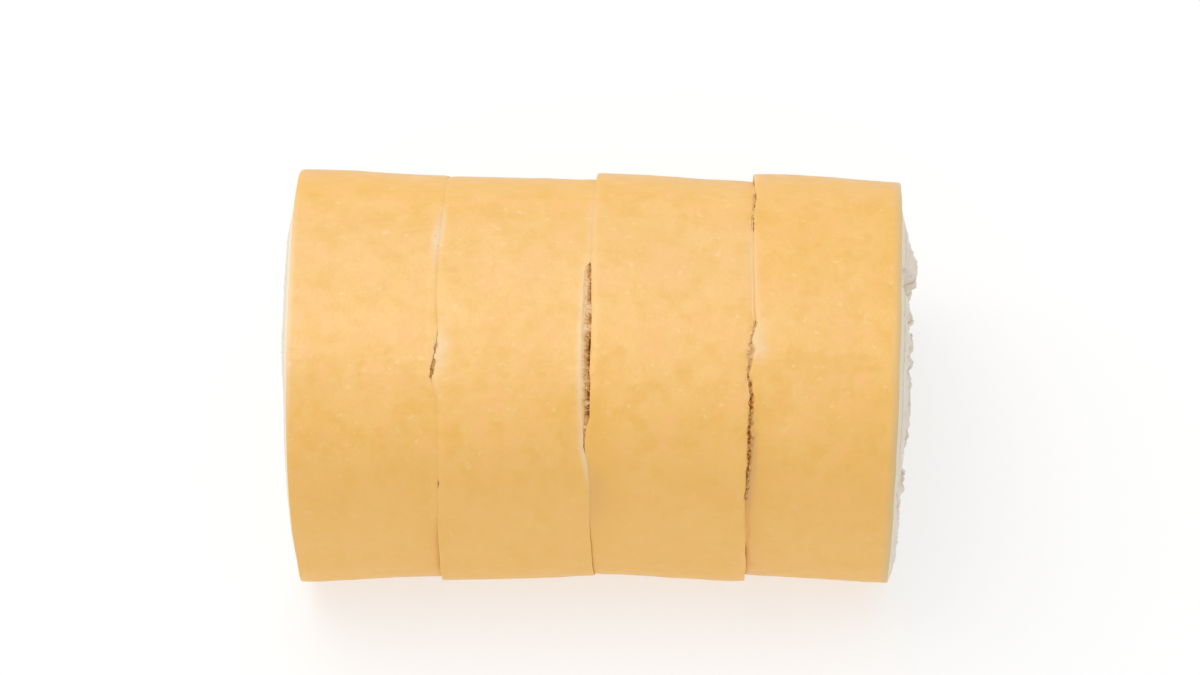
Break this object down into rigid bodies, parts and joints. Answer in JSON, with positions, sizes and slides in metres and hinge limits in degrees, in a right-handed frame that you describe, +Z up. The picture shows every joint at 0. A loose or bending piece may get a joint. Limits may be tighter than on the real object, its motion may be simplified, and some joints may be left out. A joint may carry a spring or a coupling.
{
  "type": "mille crepe roll",
  "caption": "Chilled roll of thin crepes and whipped cream in a thick yellow crepe skin, cut across into slices that stand together as one loaf.",
  "frame": {"origin": "under the middle of the roll, on the surface it stands on", "axes": "+X along the roll, to the right as seen from the front; -Y is the front; +Z up"},
  "size_m": [0.1592, 0.108, 0.0774],
  "materials": {
    "outer_crepe": "soft matte egg-yellow crepe, faintly mottled",
    "cream": "matt whipped cream, pale, torn by the knife",
    "inner_crepe": "thin pale yellow crepe, matt"
  },
  "bodies": {
    "root": {"outer_crepe_1": "outer_crepe", "cream_1": "cream", "inner_crepe_1": "inner_crepe", "outer_crepe_2": "outer_crepe", "cream_2": "cream", "inner_crepe_2": "inner_crepe", "outer_crepe_3": "outer_crepe", "cream_3": "cream", "inner_crepe_3": "inner_crepe", "outer_crepe_4": "outer_crepe", "cream_4": "cream", "inner_crepe_4": "inner_crepe"}
  },
  "joints": []
}
